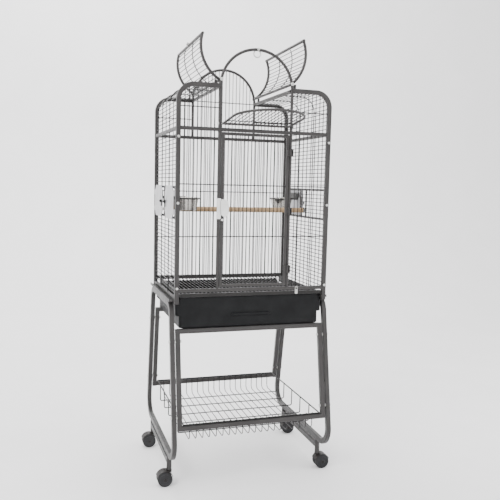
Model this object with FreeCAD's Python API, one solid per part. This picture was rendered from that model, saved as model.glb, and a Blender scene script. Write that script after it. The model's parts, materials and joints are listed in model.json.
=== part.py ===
"""Open-top bird cage on a wheeled stand: welded wire panels, wing roof, drawers, feeders.

Frame: origin on the floor under the middle of the cage, +Z up, -Y towards the
main door, +X to the right of someone facing the door. Millimetres.
"""
import FreeCAD
import Part
import math
import os

V = FreeCAD.Vector
X_AXIS, Y_AXIS, Z_AXIS = V(1, 0, 0), V(0, 1, 0), V(0, 0, 1)

# ---------------------------------------------------------------- driving sizes
# cage panels
CAGE_WIDTH = 540.0          # corner post to corner post, centre lines
CAGE_DEPTH = 424.0          # front panel to back panel, centre planes
POST = 15.0                 # square corner post
RAIL = 12.0                 # square rails of the panels
ROUND_OVER = 2.0            # rounded corners of square tube
FOOT_Z = 650.0              # underside of the corner posts
SILL_Z = 695.0              # front bottom rail
BACK_SILL_Z = 684.0
MID_RAIL_Z = 1241.0         # rail under the dome
SHOULDER_Z = 1385.0         # roof rails beside the dome
SHOULDER_R = 52.0           # bend of the corner posts into the roof
ARCH_HALF = 128.0           # arch posts either side of the middle
ARCH_TUBE = 10.0            # tube of the arches and of the wings
WELD_GAP = 0.3              # bars stop this short of the tube that they are welded to

# wire work
BAR = 2.8                   # panel bars
CROSS = 3.4                 # cross wires that the bars are welded to
BITE = 0.5                  # how far two crossing wires melt into each other
PITCH = 14.2                # bar spacing
DOME_PITCH = 14.6           # bar spacing of wings and landing door

# main door
DOOR_HALF = 117.0           # door stile centre lines
DOOR_STILE = 10.0
DOOR_BOTTOM_Z = 710.0
DOOR_TOP_Z = 1228.0
CROSS_WIRE_Z = (880.0, 1056.0)      # cross wires of front panel and door
BACK_CROSS_Z = (845.0, 1028.0)      # cross wires of the back panel

# landing door
LANDING_HINGE_Z = 1261.0
LANDING_TUBE = 8.0
LANDING_GAP = 2.0           # between the leaf and the arch
LANDING_REST = 83.5         # leaf leans this far out of the upright

# wings
WING_PIVOT_Z = 1407.0
WING_REST = {-1: 72.0, 1: 65.0}     # how far the left and the right wing lie open
WING_GAP = 6.0              # between a wing and the front or back arch
WING_WIRES = 2              # curved wires inside each wing

# feeder bays in the side panels
FEEDER_LOW_Z, FEEDER_HIGH_Z = 940.0, 1045.0
BAY_NEAR, BAY_FAR = 30.0, 192.0     # jambs of each bay, from the middle of the side
FEEDER_PLATE_T = 2.0
CUP_TOP_R, CUP_BASE_R = 44.0, 36.0
CUP_TOP_Z, CUP_BASE_Z = 1010.0, 964.0
CUP_WALL = 1.2
CUP_X = 219.0

# perch
PERCH_D = 19.0
PERCH_SCREW_D = 5.0
PERCH_WASHER_R = 12.0

# bottom: ledges, grate and tray
LEDGE_Z = 655.3             # underside of the ledges, on the stand
LEDGE_T = 3.0
LEDGE_OUT = 292.0
LEDGE_IN = 252.0
GRATE_Z = 679.0
GRATE_ROD = 6.0
TRAY_HALF_TOP, TRAY_HALF_LOW = 270.0, 257.0
TRAY_DEPTH = 404.0
TRAY_STEP_Z = 606.0
TRAY_SIDE_Z = 647.0
TRAY_FRONT_Z = 670.0
TRAY_WALL = 3.0

# stand
TUBE = 16.0                 # tube width of frames and side loops
LOOP_DEEP = 20.0            # side loop tube, across its width
LOOP_X = 282.6
STAND_POST_X = 263.0
STAND_TOP_Z, STAND_LOW_Z = 554.0, 232.0
LOOP_TOP_Z, LOOP_LOW_Z = 645.0, 118.0
LOOP_TOP_R, LOOP_LOW_R = 45.0, 62.0
LEG_Y_TOP = 201.0           # leg centre line at the top rail, from the middle
LEG_SLOPE = 0.18            # legs spread outwards downwards
FOOT_BAR_Z = 88.0
STEM_Y = 178.0
STEM_LOW_Z = 58.0

# shelf basket
BASKET_X = 250.0
BASKET_FLOOR_Z = 180.0
BASKET_RIM = 5.0
BASKET_WIRE = 4.0
BASKET_BAR = 3.0
BASKET_PITCH = 23.5
BASKET_CROSS = 5

# casters
WHEEL_R = 26.0
WHEEL_W = 16.0
WHEEL_TRAIL = 15.5
CASTER_WEB = 6.0
PIN_CLEAR = 0.05            # radial running clearance of pins
STOP_W = 7.0                # rest lugs under the opened wings
STOP_DROP = 6.5             # a stop's flat top lies this far under the sloping tube
PANEL_BOLT_Z = (704.0, 992.0, 1212.0)
PIVOT_D = 4.0               # pivot bolts of wings and landing door
DRILL_CLEAR = 0.1           # bolt holes over their bolts, per side

HALF_W, HALF_D = CAGE_WIDTH / 2, CAGE_DEPTH / 2
FRONT, BACK = -HALF_D, HALF_D
LEFT, RIGHT = -1, 1
os.makedirs("parts", exist_ok=True)


# ---------------------------------------------------------------- helpers
def save(name, *solids):
    """Write one node: a single solid, or a group of separate solids."""
    flat = []
    for shape in solids:
        flat.extend(shape.Solids)
    shape = flat[0] if len(flat) == 1 else Part.makeCompound(flat)
    shape.exportStep("parts/" + name + ".step")
    box = shape.BoundBox
    print("%-24s %3d solids %8.1f cm3  z %.0f..%.0f" % (
        name, len(flat), shape.Volume / 1000, box.ZMin, box.ZMax))
    return shape


def fuse(shapes):
    """Weld a list of shapes into one."""
    shapes = list(shapes)
    if len(shapes) == 1:
        return shapes[0]
    return shapes[0].multiFuse(shapes[1:])


def box(x0, x1, y0, y1, z0, z1):
    """Block between two corners given in any order."""
    low = V(min(x0, x1), min(y0, y1), min(z0, z1))
    return Part.makeBox(abs(x1 - x0), abs(y1 - y0), abs(z1 - z0), low)


def rod(start, end, diameter):
    """Round bar from start to end."""
    return Part.makeCylinder(diameter / 2, (end - start).Length, start, end - start)


def span(low, high, pitch):
    """Evenly spaced places strictly between low and high, about pitch apart."""
    count = max(1, round((high - low) / pitch))
    return [low + (high - low) * i / count for i in range(1, count)]


def bent_edges(points, radii):
    """Straight runs through the points, joined by tangent arcs of the given radii."""
    edges, last = [], points[0]
    for before, corner, after, radius in zip(points, points[1:], points[2:], radii):
        to_start = (before - corner).normalize()
        to_end = (after - corner).normalize()
        half = to_start.getAngle(to_end) / 2
        reach = radius / math.tan(half)
        centre = corner + (to_start + to_end).normalize() * (radius / math.sin(half))
        arc_start, arc_end = corner + to_start * reach, corner + to_end * reach
        middle = centre + (corner - centre).normalize() * radius
        if (arc_start - last).Length > 1e-6:
            edges.append(Part.LineSegment(last, arc_start).toShape())
        edges.append(Part.Arc(arc_start, middle, arc_end).toShape())
        last = arc_end
    if (points[-1] - last).Length > 1e-6:
        edges.append(Part.LineSegment(last, points[-1]).toShape())
    return edges


def bent_rod(points, radii, diameter):
    """Round bar bent along a path."""
    path = Part.Wire(bent_edges(points, radii))
    profile = Part.Wire(Part.makeCircle(diameter / 2, points[0], points[1] - points[0]))
    return path.makePipeShell([profile], True, False)


def square_profile(centre, along, side, width, height):
    """Rounded rectangle at centre: width lies along side, height across it."""
    along, side = V(along).normalize(), V(side).normalize()
    across = along.cross(side)
    w, h, r = width / 2, height / 2, min(ROUND_OVER, width / 4, height / 4)
    bulge = r * (1 - math.sqrt(0.5))

    def at(a, b):
        return centre + side * a + across * b

    edges = []
    corners = [(1, 1), (-1, 1), (-1, -1), (1, -1)]
    for index, (sx, sy) in enumerate(corners):
        nx, ny = corners[(index + 1) % 4]
        flat_x = at(sx * (w - r), sy * h)
        flat_y = at(sx * w, sy * (h - r))
        first, second = (flat_y, flat_x) if index % 2 == 0 else (flat_x, flat_y)
        edges.append(Part.Arc(first, at(sx * (w - bulge), sy * (h - bulge)), second).toShape())
        next_x = at(nx * (w - r), ny * h)
        next_y = at(nx * w, ny * (h - r))
        edges.append(Part.LineSegment(second, next_x if index % 2 == 0 else next_y).toShape())
    return Part.Wire(edges)


def square_tube(points, radii, side, width, height):
    """Square bar bent along a path; side is the direction that stays square to it."""
    start_along = points[1] - points[0]
    profile = square_profile(points[0], start_along, side, width, height)
    if len(points) == 2:
        return Part.Face(profile).extrude(start_along)
    path = Part.Wire(bent_edges(points, radii))
    return path.makePipeShell([profile], True, False)


def loop_tube(corners, radii, side, width, height):
    """Closed bent loop, made of two half loops that meet on straight runs."""
    count = len(corners)
    middle_a = (corners[-1] + corners[0]) * 0.5
    half = count // 2
    middle_b = (corners[half - 1] + corners[half]) * 0.5
    first = [middle_a] + corners[:half] + [middle_b]
    second = [middle_b] + corners[half:] + [middle_a]
    return fuse([square_tube(first, radii[:half], side, width, height),
                 square_tube(second, radii[half:], side, width, height)])


def leg_y(z):
    """Distance of the spreading leg's centre line from the middle, at a height."""
    return LEG_Y_TOP + (STAND_TOP_Z + TUBE / 2 - z) * LEG_SLOPE


def bar_top(x, half_width, crown_z, radius, tube):
    """Height at which an upright bar meets the underside of a bend at its outer edge."""
    inside = radius - tube / 2
    from_corner = abs(x) - (half_width - radius)
    if from_corner <= 0:
        return crown_z - tube / 2
    return crown_z - radius + math.sqrt(max(inside ** 2 - from_corner ** 2, 0))


def bolt(centre, outward, shank_length, head_r=5.0, head_t=3.0, shank_d=5.0):
    """Domed machine bolt: the head stands on centre, the shank runs inwards."""
    outward = V(outward).normalize()
    head = Part.makeCylinder(head_r, head_t, centre, outward)
    rim = [e for e in head.Edges if e.Curve.TypeId == "Part::GeomCircle"
           and (e.Curve.Center - centre).dot(outward) > head_t / 2]
    head = head.makeFillet(min(head_t * 0.6, head_r * 0.5), rim)
    if shank_length <= 0:
        return head
    return head.fuse(Part.makeCylinder(shank_d / 2, shank_length, centre, outward * -1))


def through_y(x, y, z):
    """Drill for a pivot bolt, through a tube from front to back."""
    return rod(V(x, y - TUBE, z), V(x, y + TUBE, z), PIVOT_D + 2 * DRILL_CLEAR)


def through_x(x, y, z):
    """Drill for a pivot bolt, through a tube from side to side."""
    return rod(V(x - TUBE, y, z), V(x + TUBE, y, z), PIVOT_D + 2 * DRILL_CLEAR)


# ---------------------------------------------------------------- front and back panels
def arch_path(y, foot_z):
    """Arch tube: up one side, half round over the crown, down the other."""
    a, s = ARCH_HALF, SHOULDER_Z
    crown = s + a
    diagonal = a * math.sqrt(0.5)
    edges = [Part.LineSegment(V(-a, y, foot_z), V(-a, y, s)).toShape(),
             Part.Arc(V(-a, y, s), V(-diagonal, y, s + diagonal), V(0, y, crown)).toShape(),
             Part.Arc(V(0, y, crown), V(diagonal, y, s + diagonal), V(a, y, s)).toShape(),
             Part.LineSegment(V(a, y, s), V(a, y, foot_z)).toShape()]
    return Part.Wire(edges)


def arch_tube(y, foot_z):
    profile = Part.Wire(Part.makeCircle(ARCH_TUBE / 2, V(-ARCH_HALF, y, foot_z), Z_AXIS))
    return arch_path(y, foot_z).makePipeShell([profile], True, False)


def wing_pivot_x():
    """Where the arch stands at the height of the wing pivots."""
    return math.sqrt(ARCH_HALF ** 2 - (WING_PIVOT_Z - SHOULDER_Z) ** 2)


def end_panel(y, sill_z, arch_foot_z):
    """Corner posts bent into the roof, cross rails and the drilled arch, welded together."""
    pieces = []
    for sign in (LEFT, RIGHT):
        post = [V(sign * HALF_W, y, FOOT_Z), V(sign * HALF_W, y, SHOULDER_Z),
                V(sign * ARCH_HALF, y, SHOULDER_Z)]
        pieces.append(square_tube(post, [SHOULDER_R], Y_AXIS, POST, POST))
    for z in (sill_z, MID_RAIL_Z):
        pieces.append(square_tube([V(-HALF_W, y, z), V(HALF_W, y, z)], [], Y_AXIS, RAIL, RAIL))
    pieces.append(arch_tube(y, arch_foot_z))
    holes = [through_y(sign * wing_pivot_x(), y, WING_PIVOT_Z) for sign in (LEFT, RIGHT)]
    if y == FRONT:
        holes.append(through_y(0, y, SHOULDER_Z + ARCH_HALF))
        holes.extend(through_x(sign * ARCH_HALF, y, LANDING_HINGE_Z) for sign in (LEFT, RIGHT))
    for x in (-HALF_W, HALF_W):
        holes.extend(through_y(x, y, z) for z in PANEL_BOLT_Z)
    return fuse(pieces).cut(holes)


def upright_grid(y, x_low, x_high, z_low, tops, cross_zs, outward):
    """Upright bars at even pitch between two posts, on cross wires set outside them."""
    bars = []
    for x in span(x_low, x_high, PITCH):
        bars.append(rod(V(x, y, z_low), V(x, y, tops(x)), BAR))
    offset = outward * ((BAR + CROSS) / 2 - BITE)
    for z in cross_zs:
        start, end = V(x_low + WELD_GAP, y + offset, z), V(x_high - WELD_GAP, y + offset, z)
        bars.append(rod(start, end, CROSS))
    return fuse(bars)


def turned(shape, pivot, axis, degrees):
    """Copy of a shape, turned about an axis through pivot."""
    copy = shape.copy()
    copy.rotate(pivot, axis, degrees)
    return copy


def flat_top(z):
    return lambda x: z


def shoulder_top(x):
    return bar_top(x, HALF_W, SHOULDER_Z, SHOULDER_R, POST) - WELD_GAP


def arch_top(x):
    inside = ARCH_HALF - ARCH_TUBE / 2
    return SHOULDER_Z + math.sqrt(max(inside ** 2 - x ** 2, 0)) - WELD_GAP


BAR_LOW_Z = SILL_Z + RAIL / 2 + WELD_GAP
BACK_BAR_LOW_Z = BACK_SILL_Z + RAIL / 2 + WELD_GAP
BAR_MID_Z = MID_RAIL_Z - RAIL / 2 - WELD_GAP
BAR_UP_Z = MID_RAIL_Z + RAIL / 2 + WELD_GAP
POST_IN = HALF_W - POST / 2
ARCH_OUT = ARCH_HALF + ARCH_TUBE / 2
ARCH_IN = ARCH_HALF - ARCH_TUBE / 2


def tie_z():
    """Height of the tie wire that joins the short bars under the shoulder."""
    return (BAR_UP_Z + SHOULDER_Z - POST / 2) / 2


CLIP_X, CLIP_PIN_D = 162.0, 4.0
CLIP_T, CLIP_W = 1.5, 10.0
CLIP_FACE = FRONT - RAIL / 2 - 0.4
clip_stud = rod(V(CLIP_X, CLIP_FACE + 3, SILL_Z), V(CLIP_X, CLIP_FACE - CLIP_T - 0.4, SILL_Z), CLIP_PIN_D)
clip_head = bolt(V(CLIP_X, CLIP_FACE - CLIP_T - 0.4, SILL_Z), Y_AXIS * -1, 0, 3.6, 1.4)
save("front_frame", fuse([end_panel(FRONT, SILL_Z, SILL_Z), clip_stud, clip_head]))
save("back_frame", end_panel(BACK, BACK_SILL_Z, MID_RAIL_Z))
front_bars = []
back_bars = [upright_grid(BACK, -POST_IN, POST_IN, BACK_BAR_LOW_Z, flat_top(BAR_MID_Z), BACK_CROSS_Z, 1),
             upright_grid(BACK, -ARCH_IN, ARCH_IN, BAR_UP_Z, arch_top, (SHOULDER_Z,), 1)]
for sign in (LEFT, RIGHT):
    low_x, high_x = sorted((sign * POST_IN, sign * ARCH_OUT))
    front_bars.append(upright_grid(FRONT, low_x, high_x, BAR_LOW_Z, flat_top(BAR_MID_Z), CROSS_WIRE_Z, -1))
    front_bars.append(upright_grid(FRONT, low_x, high_x, BAR_UP_Z, shoulder_top, (tie_z(),), -1))
    back_bars.append(upright_grid(BACK, low_x, high_x, BAR_UP_Z, shoulder_top, (tie_z(),), 1))
save("front_bars", *front_bars)
save("back_bars", *back_bars)

# ---------------------------------------------------------------- side panels and roof
EDGE_ROD = 5.0
JAMB = 4.0                  # upright jamb rods beside each feeder bay
EDGE_Y = HALF_D - POST / 2 - EDGE_ROD / 2 - WELD_GAP
SIDE_RAIL_Z = LEDGE_Z + LEDGE_T + 0.2 + RAIL / 2
SUPPORT_Y = HALF_D / 3
BAR_Y = EDGE_Y - EDGE_ROD / 2 - WELD_GAP


def side_path(sign, z_low, x_end, offset=0.0):
    """Up the side, over the shoulder and in to the roof rail."""
    x = sign * (HALF_W + offset)
    return [V(x, 0, z_low), V(x, 0, SHOULDER_Z + offset), V(sign * x_end, 0, SHOULDER_Z + offset)]


def moved_y(points, y):
    return [V(p.x, y, p.z) for p in points]


def side_frame(sign):
    """Edge rods bent over the shoulder, the rails between them and the feeder jambs."""
    x = sign * HALF_W
    pieces = []
    for y in (-EDGE_Y, EDGE_Y):
        path = moved_y(side_path(sign, SIDE_RAIL_Z, ARCH_HALF), y)
        pieces.append(bent_rod(path, [SHOULDER_R], EDGE_ROD))
    for z in (SIDE_RAIL_Z, MID_RAIL_Z):
        pieces.append(square_tube([V(x, -EDGE_Y, z), V(x, EDGE_Y, z)], [], Z_AXIS, RAIL, RAIL))
    for z in (FEEDER_LOW_Z, FEEDER_HIGH_Z):
        pieces.append(square_tube([V(x, -EDGE_Y, z), V(x, EDGE_Y, z)], [], Z_AXIS, 8.0, 6.0))
    roof_x = sign * ARCH_HALF
    roof = [V(roof_x, -EDGE_Y, SHOULDER_Z), V(roof_x, EDGE_Y, SHOULDER_Z)]
    pieces.append(square_tube(roof, [], Z_AXIS, ARCH_TUBE, ARCH_TUBE))
    for y in (-BAY_FAR, -BAY_NEAR, BAY_NEAR, BAY_FAR):
        pieces.append(rod(V(x, y, FEEDER_LOW_Z), V(x, y, FEEDER_HIGH_Z), JAMB))
    return fuse(pieces)


def level_grid(sign, z_low, z_high, y_low=-BAR_Y, y_high=BAR_Y, supports=(-SUPPORT_Y, SUPPORT_Y)):
    """Level bars from front to back, tied by upright support wires outside them."""
    x = sign * HALF_W
    bars = [rod(V(x, y_low, z), V(x, y_high, z), BAR) for z in span(z_low, z_high, PITCH)]
    outside = x + sign * ((BAR + CROSS) / 2 - BITE)
    for y in supports:
        bars.append(rod(V(outside, y, z_low + WELD_GAP), V(outside, y, z_high - WELD_GAP), CROSS))
    return fuse(bars)


def shoulder_grid(sign):
    """Level bars round the shoulder bend and along the roof, tied by bent support wires."""
    offset = (BAR + CROSS) / 2 - BITE
    z_start = MID_RAIL_Z + RAIL / 2 + WELD_GAP
    x_stop = ARCH_HALF + ARCH_TUBE / 2 + WELD_GAP
    straight = SHOULDER_Z - SHOULDER_R - z_start
    bend = SHOULDER_R * math.pi / 2
    flat = HALF_W - SHOULDER_R - x_stop
    bars = []
    for s in span(0, straight + bend + flat, PITCH):
        if s < straight:
            x, z = HALF_W, z_start + s
        elif s < straight + bend:
            turn = (s - straight) / SHOULDER_R
            x = HALF_W - SHOULDER_R + SHOULDER_R * math.cos(turn)
            z = SHOULDER_Z - SHOULDER_R + SHOULDER_R * math.sin(turn)
        else:
            x, z = HALF_W - SHOULDER_R - (s - straight - bend), SHOULDER_Z
        bars.append(rod(V(sign * x, -BAR_Y, z), V(sign * x, BAR_Y, z), BAR))
    for y in (-SUPPORT_Y, SUPPORT_Y):
        path = moved_y(side_path(sign, z_start, x_stop, offset), y)
        bars.append(bent_rod(path, [SHOULDER_R + offset], CROSS))
    return fuse(bars)


LOW_BARS = (SIDE_RAIL_Z + RAIL / 2, FEEDER_LOW_Z - 4.0)
HIGH_BARS = (FEEDER_HIGH_Z + 4.0, MID_RAIL_Z - RAIL / 2)
BAY_BARS = (FEEDER_LOW_Z + 4.0, FEEDER_HIGH_Z - 4.0)
BAY_INNER = BAY_NEAR + JAMB / 2 + WELD_GAP
BETWEEN_BAYS = BAY_NEAR - JAMB / 2 - WELD_GAP
TIE_Y = 18.0                # support wires between the bays
BAY_OUTER = BAY_FAR - JAMB / 2 - WELD_GAP
for side_name, sign in (("left", LEFT), ("right", RIGHT)):
    save("side_frame_" + side_name, side_frame(sign))
    grids = [level_grid(sign, *LOW_BARS), level_grid(sign, *HIGH_BARS),
             level_grid(sign, *BAY_BARS, -BETWEEN_BAYS, BETWEEN_BAYS, (-TIE_Y, TIE_Y))]
    if sign == RIGHT:
        grids.append(level_grid(sign, *BAY_BARS, -BAY_OUTER, -BAY_INNER, (-SUPPORT_Y,)))
    save("side_bars_" + side_name, *grids)
    save("roof_bars_" + side_name, shoulder_grid(sign))


# ---------------------------------------------------------------- wings
WING_Y = HALF_D - ARCH_TUBE / 2 - WING_GAP - ARCH_TUBE / 2
WING_TOP_GAP = 1.0          # half the gap between the closed wings


def wing_point(angle, sign):
    """Point on the closed dome, by angle above the level of its centre."""
    x = ARCH_HALF * math.cos(angle)
    return V(sign * x, 0, SHOULDER_Z + ARCH_HALF * math.sin(angle))


PIVOT_ANGLE = math.asin((WING_PIVOT_Z - SHOULDER_Z) / ARCH_HALF)
TOP_ANGLE = math.acos((ARCH_TUBE / 2 + WING_TOP_GAP) / ARCH_HALF)


def wing_arc(y, sign, diameter, start=PIVOT_ANGLE, end=TOP_ANGLE):
    """Quarter-round rod of a closed wing at one depth."""
    a, b, c = (wing_point(angle, sign) + V(0, y, 0) for angle in (start, (start + end) / 2, end))
    path = Part.Wire([Part.Arc(a, b, c).toShape()])
    tangent = V(-sign * math.sin(start), 0, math.cos(start))
    profile = Part.Wire(Part.makeCircle(diameter / 2, a, tangent))
    return path.makePipeShell([profile], True, False)


def wing(sign):
    """Frame and bars of one wing, opened to its rest. The left wing is the right one turned about Z."""
    low, top = wing_point(PIVOT_ANGLE, RIGHT), wing_point(TOP_ANGLE, RIGHT)
    reach = V(0, WING_Y + ARCH_TUBE / 2, 0)
    bore = PIVOT_D / 2 + PIN_CLEAR
    deep = V(0, PIVOT_DEPTH, 0)
    past = V(0, 1, 0)
    drills = [rod(low - reach - past, low - reach + deep, 2 * bore),
              rod(low + reach - deep, low + reach + past, 2 * bore)]
    frame = fuse([rod(low - reach, low + reach, ARCH_TUBE), rod(top - reach, top + reach, ARCH_TUBE),
                  wing_arc(-WING_Y, RIGHT, ARCH_TUBE), wing_arc(WING_Y, RIGHT, ARCH_TUBE)])
    for drill in drills:
        frame = frame.cut(drill)
    end = V(0, WING_Y - ARCH_TUBE / 2 - WELD_GAP, 0)
    edge_gap = (ARCH_TUBE + BAR) / 2 / ARCH_HALF
    bars = []
    for angle in span(PIVOT_ANGLE, TOP_ANGLE, DOME_PITCH / ARCH_HALF):
        here = wing_point(angle, RIGHT)
        bars.append(rod(here - end, here + end, BAR))
    for index in range(WING_WIRES):
        y = -WING_Y + 2 * WING_Y * (index + 1) / (WING_WIRES + 1)
        bars.append(wing_arc(y, RIGHT, CROSS, PIVOT_ANGLE + edge_gap, TOP_ANGLE - edge_gap))
    opened = [turned(shape, low, Y_AXIS, WING_REST[sign]) for shape in (frame, fuse(bars))]
    return opened if sign == RIGHT else [turned(shape, V(0, 0, 0), Z_AXIS, 180) for shape in opened]


def wing_rest_point(angle, sign):
    """A point of the opened wing's curve."""
    pivot, here = wing_point(PIVOT_ANGLE, sign), wing_point(angle, sign)
    turn = FreeCAD.Rotation(Y_AXIS, sign * WING_REST[sign])
    return pivot + turn.multVec(here - pivot)


PIVOT_DEPTH = 16.0          # how far a pivot bolt reaches into its tube
HEAD_R, HEAD_T = 6.0, 3.0
pivot_bolts, stops = [], []
for side_name, sign in (("left", LEFT), ("right", RIGHT)):
    frame, bars = wing(sign)
    save("wing_frame_" + side_name, frame)
    save("wing_bars_" + side_name, bars)
    for y_sign in (-1, 1):
        face = y_sign * (HALF_D + ARCH_TUBE / 2 + WELD_GAP)
        length = ARCH_TUBE + 2 * WELD_GAP + WING_GAP + PIVOT_DEPTH - 1
        pivot_bolts.append(bolt(V(sign * wing_pivot_x(), face, WING_PIVOT_Z), Y_AXIS * y_sign, length,
                                HEAD_R, HEAD_T, PIVOT_D))
        rest = wing_rest_point(PIVOT_ANGLE + 0.16, sign)
        stop_top = rest.z - ARCH_TUBE / 2 - STOP_DROP
        stops.append(box(rest.x - STOP_W / 2, rest.x + STOP_W / 2, y_sign * (EDGE_Y - 5), y_sign * (EDGE_Y + 2),
                         SHOULDER_Z + EDGE_ROD / 2 + 0.2, stop_top))
save("wing_stops", *stops)

KNOB_R, KNOB_T = 6.0, 7.0
top_edge = wing_rest_point(TOP_ANGLE, LEFT)
outward = FreeCAD.Rotation(Y_AXIS, -WING_REST[LEFT]).multVec(V(0, 0, 1))
knob_base = top_edge + outward * (ARCH_TUBE / 2 + 0.2)
save("wing_latch", fuse([rod(knob_base, knob_base + outward * 2.0, 2 * KNOB_R + 4),
                         rod(knob_base, knob_base + outward * KNOB_T, 2 * KNOB_R)]))


# ---------------------------------------------------------------- landing door
def landing_leaf():
    """Arch-shaped leaf and its bars, closed upright in the front arch, then let down."""
    half = ARCH_IN - LANDING_GAP - LANDING_TUBE / 2
    hinge = V(0, FRONT, LANDING_HINGE_Z)
    side = V(half, 0, 0)
    reach = V(ARCH_IN - LANDING_GAP, 0, 0)
    spring_line = V(0, 0, SHOULDER_Z - LANDING_HINGE_Z)
    edges = [Part.LineSegment(hinge - side, hinge - side + spring_line).toShape(),
             Part.Arc(hinge - side + spring_line, hinge + spring_line + V(0, 0, half),
                      hinge + side + spring_line).toShape(),
             Part.LineSegment(hinge + side + spring_line, hinge + side).toShape()]
    profile = Part.Wire(Part.makeCircle(LANDING_TUBE / 2, hinge - side, Z_AXIS))
    bow = Part.Wire(edges).makePipeShell([profile], True, False)
    deep = V(PIVOT_DEPTH, 0, 0)
    bore_d = PIVOT_D + 2 * PIN_CLEAR
    drills = [rod(hinge - reach, hinge - reach + deep, bore_d),
              rod(hinge + reach - deep, hinge + reach, bore_d)]
    frame = fuse([bow, rod(hinge - reach, hinge + reach, LANDING_TUBE)]).cut(drills)
    inside = half - LANDING_TUBE / 2
    low_z = LANDING_HINGE_Z + LANDING_TUBE / 2 + WELD_GAP
    bars = []
    for x in span(-inside, inside, DOME_PITCH):
        top = SHOULDER_Z + math.sqrt(inside ** 2 - x ** 2) - WELD_GAP
        bars.append(rod(V(x, FRONT, low_z), V(x, FRONT, top), BAR))
    tie = V(inside - WELD_GAP, 0, 0)
    middle = V(0, FRONT - (BAR + CROSS) / 2 + BITE, (LANDING_HINGE_Z + SHOULDER_Z) / 2)
    bars.append(rod(middle - tie, middle + tie, CROSS))
    return [turned(shape, hinge, X_AXIS, LANDING_REST) for shape in (frame, fuse(bars))]


frame, bars = landing_leaf()
save("landing_door_frame", frame)
save("landing_door_bars", bars)
for sign in (LEFT, RIGHT):
    face = V(sign * (ARCH_OUT + WELD_GAP), FRONT, LANDING_HINGE_Z)
    length = ARCH_TUBE + WELD_GAP + LANDING_GAP + PIVOT_DEPTH - 1
    pivot_bolts.append(bolt(face, X_AXIS * sign, length, HEAD_R, HEAD_T, PIVOT_D))
save("dome_pivots", *pivot_bolts)

# ---------------------------------------------------------------- main door
HINGE_X = ARCH_HALF - 3.5
HINGE_Y = FRONT - 11.0
HINGE_PIN = 4.0
KNUCKLE_R, KNUCKLE_H = 4.0, 20.0
HINGE_ARM = 3.0
HINGE_Z = (765.0, 968.0, 1172.0)
STILE_FACE = FRONT - DOOR_STILE / 2


def door_frame():
    """Door frame with a hinge knuckle and its leaf at each hinge."""
    x, low, top = DOOR_HALF, DOOR_BOTTOM_Z, DOOR_TOP_Z
    half = DOOR_STILE / 2
    pieces = []
    for sign in (LEFT, RIGHT):
        stile = [V(sign * x, FRONT, low - half), V(sign * x, FRONT, top + half)]
        pieces.append(square_tube(stile, [], Y_AXIS, DOOR_STILE, DOOR_STILE))
    for z in (low, top):
        rail = [V(-x, FRONT, z), V(x, FRONT, z)]
        pieces.append(square_tube(rail, [], Y_AXIS, DOOR_STILE, DOOR_STILE))
    for z in HINGE_Z:
        bottom = z - KNUCKLE_H / 2
        pieces.append(Part.makeCylinder(KNUCKLE_R, KNUCKLE_H, V(HINGE_X, HINGE_Y, bottom)))
        pieces.append(box(x - half + 1, HINGE_X, STILE_FACE + 1, HINGE_Y + 1, bottom, bottom + KNUCKLE_H))
    bores = [Part.makeCylinder(HINGE_PIN / 2 + PIN_CLEAR, KNUCKLE_H, V(HINGE_X, HINGE_Y, z - KNUCKLE_H / 2))
             for z in HINGE_Z]
    return fuse(pieces).cut(bores)


def door_hinge(z):
    """Pin between two arms that reach round from the arch post."""
    low = z - KNUCKLE_H / 2 - HINGE_PLAY - HINGE_ARM
    high = z + KNUCKLE_H / 2 + HINGE_PLAY
    post_face = FRONT - ARCH_TUBE / 2 - 0.2
    pieces = [Part.makeCylinder(HINGE_PIN / 2, high + HINGE_ARM - low, V(HINGE_X, HINGE_Y, low))]
    for bottom in (low, high):
        pieces.append(Part.makeCylinder(KNUCKLE_R, HINGE_ARM, V(HINGE_X, HINGE_Y, bottom)))
        pieces.append(box(HINGE_X, HINGE_X + 9, HINGE_Y - KNUCKLE_R, post_face, bottom, bottom + HINGE_ARM))
    pieces.append(box(HINGE_X + 6, HINGE_X + 9, HINGE_Y - KNUCKLE_R, post_face, low, high + HINGE_ARM))
    return fuse(pieces)


HINGE_PLAY = 0.4
save("main_door_frame", door_frame())
inside = DOOR_HALF - DOOR_STILE / 2
save("main_door_bars", upright_grid(FRONT, -inside, inside, DOOR_BOTTOM_Z + DOOR_STILE / 2 + WELD_GAP,
                                    flat_top(DOOR_TOP_Z - DOOR_STILE / 2 - WELD_GAP), CROSS_WIRE_Z, -1))

# latch: a keeper plate on the arch post, a swinging paddle on the door
KEEPER_LOW_Z, KEEPER_HIGH_Z = 940.0, 1010.0
KEEPER_W, KEEPER_T = 15.0, 1.5
PADDLE_PIVOT_Z = 993.0
PADDLE_LOW_Z = 944.0
PADDLE_W, PADDLE_T = 29.0, 2.0
LATCH_FACE = FRONT - ARCH_TUBE / 2 - 0.2 - KEEPER_T
PADDLE_X = -DOOR_HALF + 8.0
PADDLE_BACK = LATCH_FACE - 3.0


def plate_y(outline, y_back, thickness):
    """Flat plate cut from an outline of (x, z) points, standing in front of y_back."""
    corners = [V(x, y_back - thickness, z) for x, z in outline]
    face = Part.Face(Part.makePolygon(corners + corners[:1]))
    return face.extrude(V(0, thickness, 0))


def round_plate_edges(plate, radius, axis):
    """Round the corners of a flat plate, seen along axis."""
    upright = [e for e in plate.Edges if e.Curve.TypeId == "Part::GeomLine"
               and abs(e.tangentAt(e.FirstParameter).dot(axis)) > 0.99]
    return plate.makeFillet(radius, upright)


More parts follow.
